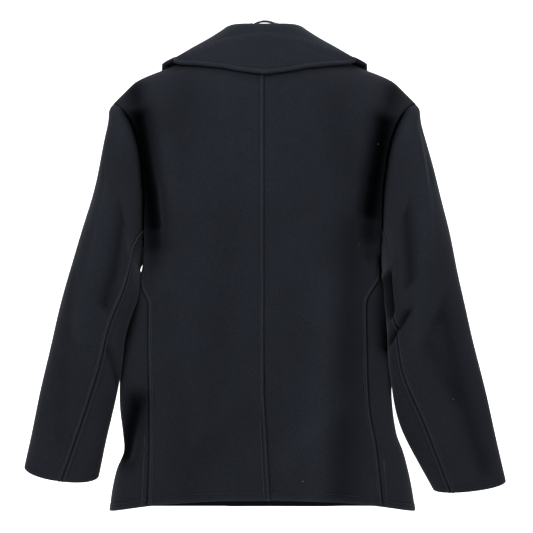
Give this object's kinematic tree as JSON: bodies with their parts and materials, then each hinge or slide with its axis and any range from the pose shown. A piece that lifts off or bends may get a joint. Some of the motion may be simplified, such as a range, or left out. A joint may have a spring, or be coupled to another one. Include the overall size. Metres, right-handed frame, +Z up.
{
  "type": "pea coat on a hanger",
  "caption": "Navy-black wool double-breasted pea coat hanging buttoned on a plain hanger, with a wide fall collar, two-piece sleeves and a centre back vent.",
  "frame": {"origin": "inside top of the hanger's hook, where a rail holds it", "axes": "+Z up along the hook's stem, the coat's front faces -Y and the wearer's left is +X"},
  "size_m": [0.7719, 0.2042, 0.7918],
  "materials": {
    "wool": "brushed melton",
    "button_plastic": "satin",
    "hanger_wood": "satin lacquer",
    "hook_chrome": "polished"
  },
  "bodies": {
    "root": {"back_left": "wool", "back_right": "wool", "front_left": "wool", "front_right": "wool", "topsleeve_left": "wool", "topsleeve_right": "wool", "undersleeve_left": "wool", "undersleeve_right": "wool", "lapel_left": "wool", "lapel_right": "wool", "pocket_welt_left": "wool", "pocket_welt_right": "wool", "collar": "wool", "button_1": "button_plastic", "button_2": "button_plastic", "button_3": "button_plastic", "button_4": "button_plastic", "button_5": "button_plastic", "button_6": "button_plastic", "hanger_bar": "hanger_wood", "hanger_hook": "hook_chrome"}
  },
  "joints": []
}
